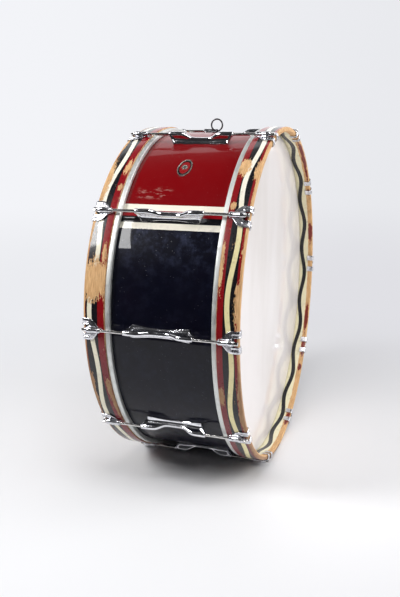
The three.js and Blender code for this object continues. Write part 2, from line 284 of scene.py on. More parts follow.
def make_hoop():
    """Wooden counter hoop with eased edges."""
    corners = [(HOOP_START, HOOP_INNER, 1.2), (HOOP_START, HOOP_RADIUS, 1.8),
               (HOOP_END, HOOP_RADIUS, 3), (HOOP_END, HOOP_INNER, 2.4)]
    return turned("wood_hoop", corners, DRUM_STEPS)


# Half width and half height of the plate's ovals, from its hole out to its edge
PLATE_OVALS = [(5.2, 5.2), (7.5, 9), (10, 16), (12.5, 23), (13.4, 23.9), (14.5, 25)]
PLATE_RIM_INNER = (12.95, 23.45)
# Distance of the plate's face from the axle
PLATE_RADIUS = 357
PLATE_THICKNESS = 0.8 * MM
PLATE_RIM_RISE = 0.6 * MM


def make_vent_plate(shell):
    """Oval plate wrapped on the shell, with a raised rim, and its eyelet through the wall."""
    middle = (0, 0, AXLE + 360 * MM)
    begin(bpy.ops.mesh.primitive_circle_add, vertices=48, radius=PLATE_OVALS[0][0] * MM,
          location=middle)
    for (wide, high), (next_wide, next_high) in zip(PLATE_OVALS, PLATE_OVALS[1:]):
        pull((0, 0, 0), (next_wide / wide, next_high / high, 1), middle)
    pick_faces(lambda place, normal: normal.z < 0)
    bpy.ops.mesh.flip_normals()
    plate = close("vent_cover")
    modify(plate, "SHRINKWRAP", target=shell, wrap_method="PROJECT", use_project_z=True,
           use_negative_direction=True, use_positive_direction=False,
           wrap_mode="ABOVE_SURFACE", offset=0.5 * MM)
    modify(plate, "SOLIDIFY", thickness=PLATE_THICKNESS, offset=1)
    reopen(plate)
    rim_wide, rim_high = PLATE_RIM_INNER
    pick_faces(lambda place, normal: normal.z > 0.5
               and (place.x / rim_wide / MM) ** 2 + (place.y / rim_high / MM) ** 2 > 1)
    pull((0, 0, PLATE_RIM_RISE))
    plate = close("vent_cover")
    soften(plate, 0.25)
    plate = join("vent_cover", [plate, make_eyelet()])
    lean = about((0, 0, AXLE), Matrix.Rotation(VENT_ANGLE, 4, "X"))
    put(plate, Matrix.Translation((VENT_ALONG, 0, 0)) @ lean)
    return plate


def make_eyelet():
    """Tube through the wall with a lip on the plate, turned along the drum and then stood up."""
    bore, tube, lip = 3.2, 4.9, 5.8
    foot, seat, top = 346.2, 357, 358.8
    corners = [(foot, bore, 0), (top, bore, 0.6), (top, lip, 0.6), (seat, lip, 0), (seat, tube, 0),
               (foot, tube, 0)]
    eyelet = turned("eyelet", corners, 40)
    put(eyelet, about((0, 0, AXLE), Matrix.Rotation(-math.pi / 2, 4, "Y")))
    return eyelet


# Carrying ring and its staple

RING_ALONG = -1.5 * MM
RING_PIVOT = AXLE + 359.3 * MM
RING_RISE = 12.7 * MM
RING_BEND = 12.5 * MM
RING_WIRE = 1.7 * MM
# How far round the wire goes, and where its ends meet
RING_SWEEP = math.radians(357.6)
RING_JOINT = math.radians(-140)


def make_carrying_ring():
    """Bent wire whose ends meet in a hairline joint at the upper left."""
    centre = Vector((RING_ALONG, 0, RING_PIVOT + RING_RISE))
    begin(bpy.ops.mesh.primitive_circle_add, vertices=16, radius=RING_WIRE, fill_type="NGON",
          location=centre + Vector((RING_BEND, 0, 0)))
    bpy.ops.mesh.spin(steps=56, angle=RING_SWEEP, center=centre, axis=(0, 1, 0),
                      use_auto_merge=False)
    bpy.ops.mesh.select_all(action="SELECT")
    bpy.ops.mesh.normals_make_consistent(inside=False)
    ring = close("strap_ring")
    soften(ring, 0.25, angle=60)
    put(ring, about(centre, Matrix.Rotation(RING_JOINT, 4, "Y")))
    return ring


STAPLE_TOP = AXLE + 357.5 * MM
STAPLE_SIZE = (24 * MM, 13 * MM, 1.6 * MM)
# Width of the base's ends as a share of its middle
STAPLE_END_SHARE = 0.66
STAPLE_SCREWS = (-8.2 * MM, 8.2 * MM)
SEAT_RADIUS = 2.5 * MM
SCREW_RADIUS = 2.1 * MM
ARCH_REACH = 3.2 * MM
ARCH_SIZE = (3 * MM, 1.9 * MM, 2.2 * MM)


def make_staple():
    """Base plate, the arch over the ring's wire, and two slotted screws sunk in the base."""
    base = make_staple_base()
    leg = ARCH_SIZE[2]
    begin(bpy.ops.mesh.primitive_cube_add, size=1, scale=ARCH_SIZE,
          location=(RING_ALONG, -ARCH_REACH, RING_PIVOT - leg / 2))
    pick_faces(lambda place, normal: normal.z > 0.9)
    bpy.ops.mesh.spin(steps=12, angle=math.pi, center=(RING_ALONG, 0, RING_PIVOT), axis=(1, 0, 0),
                      use_auto_merge=False)
    pull((0, 0, -leg))
    bpy.ops.mesh.select_all(action="SELECT")
    bpy.ops.mesh.normals_make_consistent(inside=False)
    arch = close("staple_arch")
    soften(arch, 0.4)
    screws = [make_staple_screw(along) for along in STAPLE_SCREWS]
    return join("strap_staple", [base, arch, *screws])


def make_staple_base():
    """Plate that narrows to its ends, with a seat for each screw."""
    begin(bpy.ops.mesh.primitive_cube_add, size=1, scale=STAPLE_SIZE,
          location=(RING_ALONG, 0, STAPLE_TOP - STAPLE_SIZE[2] / 2))
    pick_faces(lambda place, normal: abs(normal.x) > 0.9)
    bpy.ops.transform.resize(value=(1, STAPLE_END_SHARE, 1),
                             center_override=(RING_ALONG, 0, STAPLE_TOP))
    base = close("staple_base")
    for along in STAPLE_SCREWS:
        begin(bpy.ops.mesh.primitive_cylinder_add, vertices=32, radius=SEAT_RADIUS, depth=1.2 * MM,
              location=(RING_ALONG + along, 0, STAPLE_TOP))
        drill(base, close("screw_seat"))
    soften(base, 0.3)
    return base


def make_staple_screw(along):
    """Screw head with its slot turned its own way."""
    begin(bpy.ops.mesh.primitive_cylinder_add, vertices=24, radius=SCREW_RADIUS, depth=1.4 * MM,
          location=(RING_ALONG + along, 0, STAPLE_TOP - 0.7 * MM))
    screw = close("staple_screw")
    begin(bpy.ops.mesh.primitive_cube_add, size=1, scale=(0.7 * MM, 6 * MM, 1 * MM),
          location=(RING_ALONG + along, 0, STAPLE_TOP + 0.1 * MM), rotation=(0, 0, along / MM))
    drill(screw, close("screw_slot"))
    soften(screw, 0.12, 1, 50)
    return screw


# Rods, lugs and claws, made at the top of the drum and its right end


def make_rod():
    """Round rod with its collar and the square that the drum key turns."""
    start, collar_start, end = 49, 146.95, 148.55
    radius, collar = 3, 4.7
    corners = [(start, 0, 0), (start, radius, 0.6), (collar_start, radius, 0),
               (collar_start, collar, 0.5), (end, collar, 0.5), (end, 0, 0)]
    shank = turned("tension_rod", corners, 24, height=ROD_HEIGHT, closed=False)
    begin(bpy.ops.mesh.primitive_cube_add, size=1, location=(151.2 * MM, 0, ROD_HEIGHT),
          scale=(6.6 * MM, 6.4 * MM, 6.4 * MM))
    pick_faces(lambda place, normal: normal.x > 0.9)
    bpy.ops.mesh.inset(thickness=0.9 * MM, depth=0.3 * MM)
    key = close("key_square")
    soften(key, 0.3)
    return join("tension_rod", [shank, key])


LUG_FLOOR = AXLE + 355.7 * MM
# Height of the rod's middle above the lug's floor
LUG_RISE = 18.3
# Points of half the outline of the waist and of the end, from the shell up: across, and up
WAIST_OUTLINE = [(9, -0.3), (9, 2), (8.5, 2.6), (7.6, 2.9), (6.6, 3.5), (5.5, 4.8), (4.8, 6.6),
                 (4.4, 8.2), (4.2, 9.8), (3.2, 11), (1.2, 11.4)]
END_OUTLINE = [(13, -0.4), (13, 2), (12.4, 2.7), (10.8, 3.1), (7.4, 4.6), (5, 7.2), (4.3, 10.4),
               (4.7, 15.1), (5.7, 18.3), (4.4, 21.9), (1.6, 23.8)]
# How many of those points belong to the base; the others are the rib's
BASE_POINTS = 4
# Place along the lug's half, then how far the base and the rib have turned from waist into end
LUG_STATIONS = [(0, 0, 0), (12, 0.02, 0), (18, 0.08, 0.04), (23, 0.17, 0.18), (28, 0.29, 0.44),
                (33, 0.43, 0.7), (38, 0.58, 0.89), (43, 0.73, 0.98), (49, 0.9, 1), (54, 1, 1),
                (57.5, 1, 1)]
# Place and radius of the rounds that end the casing, and the degrees that each spans about the rod
NOSE_ROUNDS = [(66.4, 5.6), (68.2, 5.5), (69, 4.7)]
NOSE_LOWEST = -82
NOSE_HIGHEST = 78
ROD_BORES = (-62 * MM, 62 * MM)


def nose_outline(radius):
    """Half a round outline about the rod's middle, from below it to near the top."""
    span = NOSE_HIGHEST - NOSE_LOWEST
    last = len(END_OUTLINE) - 1
    turns = [math.radians(NOSE_LOWEST + span * i / last) for i in range(last + 1)]
    return [(radius * math.cos(turn), LUG_RISE + radius * math.sin(turn)) for turn in turns]


def lug_outline(along, half):
    """One closed outline across the drum, from the points of its half."""
    points = half + [(-across, up) for across, up in reversed(half)]
    draw_line([Vector((along * MM, across * MM, LUG_FLOOR + up * MM)) for across, up in points],
              closed=True)
    return close("lug_outline")


def make_lug():
    """Casting that flares at both ends, with a rib that grows into a casing round each rod."""
    outlines = []
    for along, base, rib in LUG_STATIONS:
        half = []
        for i, (waist, end) in enumerate(zip(WAIST_OUTLINE, END_OUTLINE)):
            share = base if i < BASE_POINTS else rib
            half.append((waist[0] + (end[0] - waist[0]) * share,
                         waist[1] + (end[1] - waist[1]) * share))
        outlines.append(lug_outline(along, half))
    for along, radius in NOSE_ROUNDS:
        outlines.append(lug_outline(along, nose_outline(radius)))
    lug = join("lug", outlines)
    reopen(lug)
    bpy.ops.mesh.select_all(action="SELECT")
    bpy.ops.mesh.bridge_edge_loops()
    lug_end = NOSE_ROUNDS[-1][0] * MM
    pick_points(lambda place: place.x > lug_end - 0.1 * MM)
    bpy.ops.mesh.edge_face_add()
    lug = close("lug")
    modify(lug, "MIRROR", use_axis=(True, False, False), merge_threshold=WELD)
    reopen(lug)
    face_outwards()
    lug = close("lug")
    for along in ROD_BORES:
        begin(bpy.ops.mesh.primitive_cylinder_add, vertices=24, radius=3.3 * MM, depth=36 * MM,
              location=(along, 0, ROD_HEIGHT), rotation=(0, math.pi / 2, 0))
        drill(lug, close("rod_bore"))
    return lug


CLAW_TOP = AXLE + 370.9 * MM
CLAW_THICKNESS = 2.6 * MM
# Shares of the half width at which the plate's points lie
CLAW_SHARES = (0, 0.38, 0.5, 0.7, 1)
# Place along the drum and half width of the claw's plate
CLAW_ROWS = [(116, 4.6), (121.6, 4.7), (125.1, 7.6), (130.6, 15.6), (133.6, 18.4), (138.8, 21.3),
             (141.8, 21.5)]
# The fingers grow from the points beyond this place along the drum and this far from its top
FINGER_START = 141.6 * MM
FINGER_GAP = 8 * MM
# They go out in these steps, and end in a lip under the hoop
FINGER_STEPS = (5 * MM, 6.1 * MM)
LIP_LENGTH = 12 * MM
# Where the fingers bend, along the drum, and the heights of both bends' middles
FINGER_BEND = 152.95 * MM
UPPER_BEND = AXLE + 366.3 * MM
LOWER_BEND = AXLE + 359.7 * MM
BEND_STEPS = 4
# Each finger's groove lies between these, measured from the claw's middle
GROOVE_START = 10.8 * MM
GROOVE_END = 15 * MM


def make_claw():
    """Cast double hook: flared plate, two grooved fingers round the hoop, and a barrel."""
    along, half_width = CLAW_ROWS[0]
    draw_line([Vector((along * MM, share * half_width * MM, CLAW_TOP)) for share in CLAW_SHARES],
              closed=False)
    for next_along, next_width in CLAW_ROWS[1:]:
        pull(((next_along - along) * MM, 0, 0), (1, next_width / half_width, 1))
        along, half_width = next_along, next_width
    pick_points(lambda place: place.x > FINGER_START and place.y > FINGER_GAP)
    for step in FINGER_STEPS:
        pull((step, 0, 0))
    bend_fingers(UPPER_BEND)
    pull((0, 0, LOWER_BEND - UPPER_BEND))
    bend_fingers(LOWER_BEND)
    pull((-LIP_LENGTH, 0, 0))
    curve_claw()
    claw = close("hoop_claw")
    modify(claw, "MIRROR", use_axis=(False, True, False), merge_threshold=WELD)
    reopen(claw)
    face_outwards()
    if bmesh.from_edit_mesh(claw.data).faces[0].normal.z < 0:
        bpy.ops.mesh.flip_normals()
    claw = close("hoop_claw")
    modify(claw, "SOLIDIFY", thickness=CLAW_THICKNESS, offset=-1, use_even_offset=True)
    reopen(claw)
    pick_faces(lambda place, normal: GROOVE_START < abs(place.y) < GROOVE_END
               and place.x > CLAW_ROWS[-1][0] * MM and place.z > AXLE + 360 * MM
               and normal.x + normal.z > 0.5)
    bpy.ops.mesh.inset(thickness=0.45 * MM, depth=-1.1 * MM, use_boundary=True)
    claw = close("hoop_claw")
    soften(claw, 0.45, 1, 40)
    modify(claw, "SUBSURF", levels=1, render_levels=1)
    return join("hoop_claw", [claw, make_barrel()])


def bend_fingers(height):
    """Spin the fingers' ends a quarter turn down about a height."""
    bpy.ops.mesh.spin(steps=BEND_STEPS, angle=-math.pi / 2, center=(FINGER_BEND, 0, height),
                      axis=(0, 1, 0), use_auto_merge=False)


def curve_claw():
    """Let the claw's sides down to follow the hoop's round."""
    mesh = bmesh.from_edit_mesh(bpy.context.object.data)
    for side in sorted({round(point.co.y, 5) for point in mesh.verts} - {0}):
        pick_points(lambda place: abs(place.y - side) < WELD)
        bpy.ops.transform.translate(value=(0, 0, -side ** 2 / (2 * HOOP_RADIUS * MM)))


def make_barrel():
    """The claw's barrel with its collar and bore, cut off where the plate meets the hoop."""
    bore, body, collar, start, end = 3.4, 5.5, 6.2, 116.65, 146.65
    corners = [(start, bore, 0), (start, 4.6, 0.6), (119, body, 0.8), (137, body, 0),
               (138, collar, 0.4), (143, collar, 0.6), (144.2, 5.3, 0.3), (end, 5.1, 0.6),
               (end, bore, 0)]
    barrel = turned("barrel", corners, 32, height=ROD_HEIGHT)
    reopen(barrel)
    bpy.ops.mesh.select_all(action="SELECT")
    bpy.ops.mesh.bisect(plane_co=(0, 0, AXLE + 368.4 * MM), plane_no=(0, 0, 1), use_fill=True,
                        clear_inner=True)
    return close("barrel")


# Materials


def tone(red, green, blue):
    """A colour in the 0 to 255 steps of a screen, as Blender's own values."""
    steps = (value / 255 for value in (red, green, blue))
    return (*(s / 12.92 if s <= 0.04045 else ((s + 0.055) / 1.055) ** 2.4 for s in steps), 1)


class Field:
    """What a node's socket holds; arithmetic on it adds Math nodes."""

    def __init__(self, finish, socket):
        self.finish = finish
        self.socket = socket

    def output(self, key):
        """Another output of the same node."""
        return Field(self.finish, self.socket.node.outputs[key])

    def maths(self, operation, *values):
        """A Math node."""
        return self.finish.node("ShaderNodeMath", {"operation": operation}, dict(enumerate(values)))

    def __add__(self, other):
        return self.maths("ADD", self, other)

    def __mul__(self, other):
        return self.maths("MULTIPLY", self, other)

    def __sub__(self, other):
        return self.maths("SUBTRACT", self, other)

    def __rsub__(self, other):
        return self.maths("SUBTRACT", other, self)

    def __truediv__(self, other):
        return self.maths("DIVIDE", self, other)

    def __gt__(self, other):
        return self.maths("GREATER_THAN", self, other)

    def __lt__(self, other):
        return self.maths("LESS_THAN", self, other)

    def __abs__(self):
        return self.maths("ABSOLUTE", self)

    def least(self, other):
        return self.maths("MINIMUM", self, other)

    def most(self, other):
        return self.maths("MAXIMUM", self, other)

    def cosine(self):
        return self.maths("COSINE", self)

    __radd__ = __add__
    __rmul__ = __mul__


class Finish:
    """The nodes of a material, or of the studio round the drum."""

    def __init__(self, owner):
        owner.use_nodes = True
        self.tree = owner.node_tree
        self.tree.nodes.clear()

    def node(self, kind, settings=None, inputs=None, output=0):
        """A node of a type, with its settings first, then the values or links of its sockets."""
        made = self.tree.nodes.new(kind)
        for key, value in (settings or {}).items():
            if key == "stops":
                ramp = made.color_ramp.elements
                while len(ramp) < len(value):
                    ramp.new(1)
                for element, (place, colour) in zip(ramp, value):
                    element.position = place
                    element.color = colour
            elif key == "interpolation":
                made.color_ramp.interpolation = value
            else:
                setattr(made, key, value)
        for key, value in (inputs or {}).items():
            if isinstance(value, Field):
                self.tree.links.new(value.socket, made.inputs[key])
            else:
                made.inputs[key].default_value = value
        return Field(self, made.outputs[output]) if made.outputs else None

    def vector_maths(self, operation, *values, output=0):
        """A Vector Math node."""
        return self.node("ShaderNodeVectorMath", {"operation": operation},
                         dict(enumerate(values)), output)

    def length(self, vector):
        """How long a vector is."""
        return self.vector_maths("LENGTH", vector, output="Value")

    def place(self):
        """The surface's own place in millimetres: along the drum, across it, up from its axle."""
        spot = self.node("ShaderNodeTexCoord", output="Object")
        return self.vector_maths("MULTIPLY_ADD", spot, (1 / MM, 1 / MM, 1 / MM), (0, 0, -AXLE / MM))

    def parts(self, vector):
        """The three parts of a vector."""
        first = self.node("ShaderNodeSeparateXYZ", {}, {0: vector})
        return first, first.output(1), first.output(2)

    def vector(self, x, y, z=0.0):
        """A vector of three parts."""
        return self.node("ShaderNodeCombineXYZ", {}, {0: x, 1: y, 2: z})

    def round_the_drum(self):
        """Place, part of it along the drum, degrees from top to front, distance from the axle."""
        place = self.place()
        along, across, up = self.parts(place)
        angle = along.maths("ARCTAN2", 0 - across, up) * math.degrees(1)
        return place, along, angle, self.length(self.vector(0, across, up))

    def noise(self, at, scale, detail=2.0, roughness=0.5):
        """Cloudy unevenness from 0 to 1."""
        return self.node("ShaderNodeTexNoise", {}, {"Vector": at, "Scale": scale, "Detail": detail,
                                                    "Roughness": roughness})

    def stretch(self, at, scale):
        """A place with each part scaled by its own share."""
        return self.node("ShaderNodeMapping", {}, {"Vector": at, "Scale": scale})

    def cells(self, at, scale):
        """How far a place lies from the nearest of many scattered points."""
        return self.node("ShaderNodeTexVoronoi", {}, {"Vector": at, "Scale": scale})

    def between(self, value, low, high, start=0.0, end=1.0):
        """Rises smoothly from start to end as the value goes from low to high."""
        return self.node("ShaderNodeMapRange", {"interpolation_type": "SMOOTHSTEP"},
                         {"Value": value, "From Min": low, "From Max": high,
                          "To Min": start, "To Max": end})

    def blend(self, share, first, second):
        """One colour turning into another."""
        return self.node("ShaderNodeMix", {"data_type": "RGBA"}, {0: share, 6: first, 7: second},
                         output=2)

    def bump(self, height, depth):
        """The height's dents, as deep as the depth in millimetres."""
        return self.node("ShaderNodeBump", {},
                         {"Height": height, "Distance": depth * MM, "Strength": 1.0})

    def surface(self, inputs):
        """End the material in one shader with these inputs."""
        shader = self.node("ShaderNodeBsdfPrincipled", {}, inputs)
        self.node("ShaderNodeOutputMaterial", {}, {"Surface": shader})


def new_finish(name):
    """A new material and its nodes."""
    material = bpy.data.materials.new(name)
    return material, Finish(material)


RED = tone(140, 9, 20)
PANEL_RED = tone(126, 8, 14)
# Painted shade and painted floor reflection: the hoops' red is dulled to this darker, pinker red
# towards the bottom
PAINTED_SHADE_RED = tone(100, 26, 38)
INSIDE_RED = tone(128, 44, 34)
NAVY = tone(9, 10, 24)
PAINT_BLACK = tone(16, 16, 22)
CREAM = tone(252, 246, 230)
AGED_CREAM = tone(246, 238, 202)
WOOD_LIGHT = tone(238, 198, 146)
WOOD_DARK = tone(200, 150, 100)
WOOD_SOOT = tone(120, 84, 60)
# Painted shade and painted floor reflection: the hoops' bare wood outside is dulled to this towards
# the bottom
PAINTED_SHADE_WOOD = tone(116, 84, 72)
PLY_LIGHT = tone(214, 172, 122)
PLY_DARK = tone(176, 130, 84)
LACQUER_CLOUD = tone(60, 40, 48)
LACQUER_MIST = tone(84, 92, 124)
LACQUER_SPECK = tone(196, 198, 206)
LACQUER_SCUFF = tone(214, 170, 160)
HOOP_DIRT = tone(70, 52, 44)
FILM_WHITE = tone(240, 235, 234)
FILM_SMUDGE = tone(229, 223, 220)
PLATE_RED = tone(150, 20, 24)
PLATE_BLACK = tone(14, 14, 18)
PLATE_DULL = tone(90, 80, 80)
PLATE_BRIGHT = tone(226, 224, 216)
PLATE_GREY = tone(170, 168, 160)

# Degrees from the top at which each colour of the shell starts
STRIPES = [(0, PANEL_RED), (49.5, CREAM), (51.8, RED), (53.7, PAINT_BLACK), (55.6, CREAM),
           (57.8, NAVY)]
HALF_TURN = 180
# Places along the drum about which the stripes' edges and the lower panel are worn
RAGGED_ALONG = -55
SCUFF_ALONG = -48
SCUFF_ANGLE = 45.5


def make_shell_lacquer():
    """Red panel, navy field and the stripes between them under clear lacquer, plywood inside."""
    material, finish = new_finish("shell_lacquer")
    place, along, angle, radius = finish.round_the_drum()
    from_top = abs(angle)
    ragged = (finish.between(abs(along - RAGGED_ALONG), 15, 35, 1, 0.25)
              * finish.between(from_top, 56.2, 57.2, 0.15, 1))
    wander = (finish.noise(place, 0.35, 4, 0.65) - 0.5) * 0.9 * ragged
    stops = [(start / HALF_TURN, colour) for start, colour in STRIPES]
    stripes = finish.node("ShaderNodeValToRGB", {"stops": stops, "interpolation": "CONSTANT"},
                          {0: (from_top + wander) / HALF_TURN})
    cloud = finish.noise(place, 0.012, 4, 0.6)
    colour = finish.blend((cloud - 0.45) * 0.16, stripes, LACQUER_CLOUD)
    worn = finish.between(from_top, 56, 58, 0, 1) * finish.between(from_top, 60, 76, 1, 0.15)
    mist = finish.between(finish.noise(place, 0.05, 5, 0.7), 0.42, 0.8) * worn
    colour = finish.blend(mist * 0.34, colour, LACQUER_MIST)
    speckled = finish.between(finish.noise(place, 0.03), 0.46, 0.6) * (0.2 + worn * 0.8)
    speck = (finish.cells(place, 0.16) < 0.09) * speckled
    colour = finish.blend(speck * 0.5, colour, LACQUER_SPECK)
    rub = finish.noise(finish.stretch(place, (0.35, 1, 1)), 0.12, 5, 0.7)
    scuffed = (finish.between(abs(from_top - SCUFF_ANGLE), 0.8, 3, 1, 0)
               * finish.between(abs(along - SCUFF_ALONG), 18, 42, 1, 0))
    scuff = finish.between(rub, 0.52, 0.66) * scuffed
    colour = finish.blend(scuff * 0.5, colour, LACQUER_SCUFF)
    ply = finish.noise(finish.vector(angle * 0.9, along * 1.2, radius * 0.4), 0.3, 4, 0.65)
    plywood = finish.blend(finish.between(ply, 0.35, 0.7), PLY_DARK, PLY_LIGHT)
    inside = radius < SHELL_RADIUS - 1
    colour = finish.blend(inside, colour, plywood)
    haze = finish.noise(place, 0.06, 4, 0.6)
    rough = finish.between(haze, 0.4, 0.75, 0.3, 0.45) + inside * 0.25
    finish.surface({"Base Color": colour, "Roughness": rough, "Coat Weight": (1 - inside) * 0.42,
                    "Coat Roughness": 0.025, "Specular IOR Level": 0.05,
                    "Normal": finish.bump(finish.noise(place, 0.03, 2), 0.1)})
    return material


# Bare patches of the hoops: degrees from the top, place along the drum, and half of each
RIGHT_BARE = [(36, 121.5, 3.6, 11), (36.5, 151, 4.4, 8), (45, 156, 9, 4),
              (50.6, 118.5, 1.2, 5.5), (69, 113.5, 7, 4.5), (64.5, 152, 0.8, 3.5),
              (75.5, 151, 1.7, 6.5), (80, 153, 7.5, 8), (86, 154, 3.2, 5),
              (108.2, 116.5, 3.6, 5), (113.2, 152, 10, 5)]
LEFT_BARE = [(42.3, 150, 9.4, 8), (24, 152, 5.2, 4), (37, 117.5, 3.2, 5),
             (45.2, 117.5, 1.4, 5), (75, 131, 6.2, 31), (58.4, 153, 6.2, 5),
             (67.2, 118.5, 2.7, 5), (108, 150, 3.2, 4), (111, 116.5, 4.2, 5),
             (117, 114.5, 8, 3), (112, 152, 8, 4)]
# The same for the red-brown paint left on the outer strip inside the hoop
INSIDE_PAINT = [(-164, 150, 4, 5), (-136.5, 150, 1.6, 5), (-127, 150, 4, 5), (-114, 149, 6, 5),
                (-76, 149, 4.4, 6), (-56.5, 150, 1.6, 4), (-35, 151, 15, 4)]

# The wavy lines: degrees from wave to wave, how far they swing and half their width
OUTER_WAVE = 36
OUTER_SWING = 4.9
OUTER_HALF_WIDTH = 4.7
INNER_WAVE = 22.5
INNER_SWING = 4.4
INNER_HALF_WIDTH = 4.9
INNER_START = -27
INNER_MIDDLE = 130.3
# Places along the drum where the strip inside and the bare rims start
INSIDE_STRIP = 143.5
BARE_RIMS = (111.6, 150.9)


def patches(finish, spot, table):
    """How far a place lies inside the nearest patch: 1 on its edge, less inside."""
    nearest = None
    for angle, along, half_angle, half_along in table:
        way = finish.vector_maths("MULTIPLY_ADD", spot, (1 / half_angle, 1 / half_along, 0),
                                  (-angle / half_angle, -along / half_along, 0))
        gap = finish.length(way)
        nearest = gap if nearest is None else nearest.least(gap)
    return nearest


def wavy_line(across, angle, middle, start, step, swing):
    """How far a place lies from the middle of a line that waves round the hoop."""
    return abs(across - (middle + ((angle - start) * (math.tau / step)).cosine() * swing))


def make_hoop_paint(name, bare_patches, wave_middle, wave_start, red_edges, yellowed):
    """Wavy cream line on black between red bands, chipped to bare wood, another line inside."""
    material, finish = new_finish(name)
    place, along, angle, radius = finish.round_the_drum()
    across = abs(along)
    grain_way = finish.vector(angle * 1.6, across, radius * 0.3)
    coarse = finish.noise(grain_way, 0.14, 3, 0.7) - 0.5
    splinter = finish.noise(grain_way, 0.5, 4, 0.75) - 0.5
    fine = finish.noise(place, 1.1, 3, 0.6) - 0.5
    # Painted shade and painted floor reflection: low grows from 0 to 1 between 88 and 104 degrees
    # down from the top
    low = finish.between(angle, 88, 104)

    outer_line = wavy_line(across, angle, wave_middle, wave_start, OUTER_WAVE, OUTER_SWING)
    cream = (outer_line + fine * 0.6) < OUTER_HALF_WIDTH
    wander = across + fine
    red = ((wander < red_edges[0]) + (wander > red_edges[1])).least(1)
    # The red is painted darker and pinker towards the bottom, as painted shade and a painted floor
    # reflection
    outside = finish.blend(red, PAINT_BLACK, finish.blend(low * 0.6, RED, PAINTED_SHADE_RED))
    line_colour = finish.blend(finish.between(angle, 46, 62), CREAM, yellowed)
    outside = finish.blend(cream, outside, line_colour)

    inner_line = wavy_line(across, angle, INNER_MIDDLE, INNER_START, INNER_WAVE, INNER_SWING)
    cream_inside = (inner_line + fine * 0.5) < INNER_HALF_WIDTH
    inside = finish.blend(cream_inside, AGED_CREAM, PAINT_BLACK)
    is_inside = radius < HOOP_INNER + 3
    spot = finish.vector(angle, across)
    left_on = (patches(finish, spot, INSIDE_PAINT) + coarse * 1.4 + splinter * 1.4) < 1
    outer_strip = (across + coarse * 5 + splinter * 3) > INSIDE_STRIP
    inside = finish.blend(outer_strip, inside, INSIDE_RED)
    paint = finish.blend(is_inside, outside, inside)

    chipped = (patches(finish, spot, bare_patches) + coarse * 1.7 + splinter * 2.2) < 1
    rim = across + coarse * 2.6 + splinter * 2.6 + fine
    edge_bare = ((rim < BARE_RIMS[0]) + (rim > BARE_RIMS[1])).least(1)
    clumps = (finish.noise(place, 0.02, 2) - 0.5) * 0.35
    chips = (finish.noise(grain_way, 0.3, 4, 0.7) + clumps) > 0.7
    outer_bare = chipped.most(edge_bare).most(chips) * (1 - is_inside)
    inner_bare = is_inside * outer_strip * (1 - left_on)
    bare = outer_bare.most(inner_bare)

    grain = finish.noise(finish.vector(angle * 0.5, along * 1.6, radius * 1.6), 0.55, 4, 0.6)
    wood = finish.blend(finish.between(grain, 0.35, 0.68), WOOD_DARK, WOOD_LIGHT)
    soot = finish.between(finish.noise(grain_way, 0.08, 4, 0.7), 0.55, 0.8)
    wood = finish.blend(soot * 0.55, wood, WOOD_SOOT)
    # Bare wood outside is painted darker and greyer towards the bottom, as painted shade and a
    # painted floor reflection
    wood = finish.blend(low * (1 - is_inside) * 0.6, wood, PAINTED_SHADE_WOOD)
    colour = finish.blend(bare, paint, wood)
    dirt = finish.between(finish.noise(place, 0.06, 5, 0.7), 0.5, 0.8)
    colour = finish.blend(dirt * 0.35, colour, HOOP_DIRT)

    rough = finish.between(finish.noise(place, 0.3, 3), 0.3, 0.7, 0.26, 0.42) + bare * 0.22
    height = (1 - bare) + grain * bare * 0.3
    finish.surface({"Base Color": colour, "Roughness": rough, "Coat Weight": (1 - bare) * 0.5,
                    "Coat Roughness": 0.09, "Specular IOR Level": 0.25,
                    "Normal": finish.bump(height, 0.15)})
    return material


def make_film_white():
    """Coated plastic film, faintly smudged."""
    material, finish = new_finish("film_white")
    place = finish.place()
    smudge = finish.noise(finish.stretch(place, (1, 1, 0.3)), 0.008, 3)
    colour = finish.blend(finish.between(smudge, 0.4, 0.7), FILM_WHITE, FILM_SMUDGE)
    grain = finish.noise(place, 1.2, 2)
    rough = finish.between(grain, 0.3, 0.7, 0.4, 0.5)
    finish.surface({"Base Color": colour, "Roughness": rough, "Coat Weight": 0.5,
                    "Coat Roughness": 0.08, "Normal": finish.bump(grain, 0.01)})
    return material


def make_metal(name, light, dark, rough, brushed=False, dent=0.0):
    """Bare or plated metal with faint wear, brushed round the drum if asked."""
    material, finish = new_finish(name)
    place, along, angle, radius = finish.round_the_drum()
    if brushed:
        line = finish.noise(finish.vector(angle * 0.05, along * 3, radius * 3), 1.4, 4, 0.7)
    else:
        line = finish.noise(place, 0.25, 3, 0.6)
    colour = finish.blend(finish.between(line, 0.35, 0.7), light, dark)
    gloss = finish.between(finish.noise(place, 0.12, 3), 0.35, 0.75, rough, rough * 1.5)
    inputs = {"Base Color": colour, "Metallic": 1.0, "Roughness": gloss}
    if dent:
        inputs["Normal"] = finish.bump(finish.noise(place, 0.08, 2), dent)
    finish.surface(inputs)
    return material


